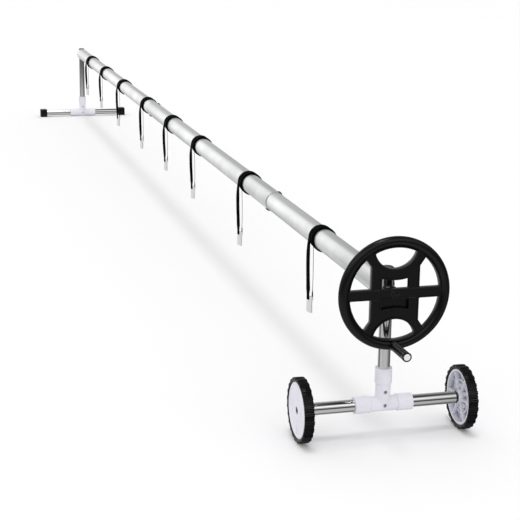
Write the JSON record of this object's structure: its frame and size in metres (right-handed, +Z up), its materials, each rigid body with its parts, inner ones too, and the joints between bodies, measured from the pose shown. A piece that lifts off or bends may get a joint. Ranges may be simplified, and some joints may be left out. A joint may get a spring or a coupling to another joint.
{
  "type": "pool cover reel",
  "caption": "Telescoping aluminium roller on a wheeled stand and a fixed stand, turned by a handwheel with a crank grip, with webbing straps and clips for a pool cover.",
  "frame": {"origin": "bottom centre of the bounding box, on the deck", "axes": "+X along the reel towards the handwheel, +Z up, symmetric stands across Y"},
  "size_m": [6.8236, 0.6348, 0.638],
  "materials": {
    "stainless": "polished stainless tube",
    "anodised": "satin anodised",
    "zinc": "zinc plated",
    "chrome": "polished",
    "white_plastic": "smooth white moulding",
    "black_plastic": "glossy black moulding",
    "black_nylon": "satin black moulding",
    "tyre": "moulded tread",
    "webbing": "woven black webbing",
    "clip_plastic": "smooth light grey moulding"
  },
  "bodies": {
    "stands": {"axle_tube": "stainless", "near_tee": "white_plastic", "near_post": "stainless", "near_post_cap": "black_plastic", "near_bushing_inner": "black_nylon", "near_bushing_outer": "black_nylon", "near_tee_screw_upper": "zinc", "near_tee_screw_lower": "zinc", "axle_stub_left": "black_nylon", "axle_stub_right": "black_nylon", "axle_cap_left": "black_plastic", "axle_cap_right": "black_plastic", "base_tube": "stainless", "far_tee": "white_plastic", "far_post": "stainless", "far_post_cap": "black_plastic", "far_bushing_inner": "black_nylon", "far_bushing_outer": "black_nylon", "far_tee_screw_upper": "zinc", "far_tee_screw_lower": "zinc", "base_end_cap_left": "black_plastic", "base_end_cap_right": "black_plastic"},
    "reel": {"reel_tube_near": "anodised", "reel_tube_middle": "anodised", "reel_tube_far": "anodised", "reel_plug_near": "black_plastic", "reel_plug_far": "black_plastic", "shaft_near": "zinc", "shaft_far": "zinc", "near_thrust_washer": "black_nylon", "far_shaft_collar": "zinc", "seam_screw_near_1": "black_nylon", "seam_screw_near_2": "black_nylon", "seam_screw_far_1": "black_nylon", "seam_screw_far_2": "black_nylon", "handwheel": "black_plastic", "handwheel_hub_cap": "black_plastic", "crank_spindle": "zinc", "crank_end_cap": "chrome"},
    "crank_grip": {"crank_grip": "black_plastic"},
    "wheel_left": {"wheel_disc_left": "white_plastic", "tyre_left": "tyre"},
    "wheel_right": {"wheel_disc_right": "white_plastic", "tyre_right": "tyre"},
    "strap_8": {"strap_8": "webbing", "strap_clip_8": "clip_plastic"},
    "strap_7": {"strap_7": "webbing", "strap_clip_7": "clip_plastic"},
    "strap_6": {"strap_6": "webbing", "strap_clip_6": "clip_plastic"},
    "strap_5": {"strap_5": "webbing", "strap_clip_5": "clip_plastic"},
    "strap_4": {"strap_4": "webbing", "strap_clip_4": "clip_plastic"},
    "strap_3": {"strap_3": "webbing", "strap_clip_3": "clip_plastic"},
    "strap_2": {"strap_2": "webbing", "strap_clip_2": "clip_plastic"},
    "strap_1": {"strap_1": "webbing", "strap_clip_1": "clip_plastic"}
  },
  "joints": [
    {"name": "reel_spin", "type": "hinge", "parent": "stands", "child": "reel", "pos_m": [0, 0, 0.466], "axis": [1, 0, 0], "continuous": true},
    {"name": "crank_grip_spin", "type": "hinge", "parent": "reel", "child": "crank_grip", "pos_m": [3.3522, 0, 0.308], "axis": [1, 0, 0], "continuous": true},
    {"name": "wheel_left_spin", "type": "hinge", "parent": "stands", "child": "wheel_left", "pos_m": [3.2222, -0.2595, 0.1], "axis": [0, 1, 0], "continuous": true},
    {"name": "wheel_right_spin", "type": "hinge", "parent": "stands", "child": "wheel_right", "pos_m": [3.2222, 0.2595, 0.1], "axis": [0, 1, 0], "continuous": true},
    {"name": "strap_8_swing", "type": "hinge", "parent": "stands", "child": "strap_8", "pos_m": [-2.7898, 0, 0.466], "axis": [1, 0, 0], "range_deg": [-90, 90]},
    {"name": "strap_7_swing", "type": "hinge", "parent": "stands", "child": "strap_7", "pos_m": [-2.1418, 0, 0.466], "axis": [1, 0, 0], "range_deg": [-90, 90]},
    {"name": "strap_6_swing", "type": "hinge", "parent": "stands", "child": "strap_6", "pos_m": [-1.4428, 0, 0.466], "axis": [1, 0, 0], "range_deg": [-90, 90]},
    {"name": "strap_5_swing", "type": "hinge", "parent": "stands", "child": "strap_5", "pos_m": [-0.6348, 0, 0.466], "axis": [1, 0, 0], "range_deg": [-90, 90]},
    {"name": "strap_4_swing", "type": "hinge", "parent": "stands", "child": "strap_4", "pos_m": [0.0612, 0, 0.466], "axis": [1, 0, 0], "range_deg": [-90, 90]},
    {"name": "strap_3_swing", "type": "hinge", "parent": "stands", "child": "strap_3", "pos_m": [0.7142, 0, 0.466], "axis": [1, 0, 0], "range_deg": [-90, 90]},
    {"name": "strap_2_swing", "type": "hinge", "parent": "stands", "child": "strap_2", "pos_m": [1.6122, 0, 0.466], "axis": [1, 0, 0], "range_deg": [-90, 90]},
    {"name": "strap_1_swing", "type": "hinge", "parent": "stands", "child": "strap_1", "pos_m": [2.5882, 0, 0.466], "axis": [1, 0, 0], "range_deg": [-90, 90]}
  ]
}
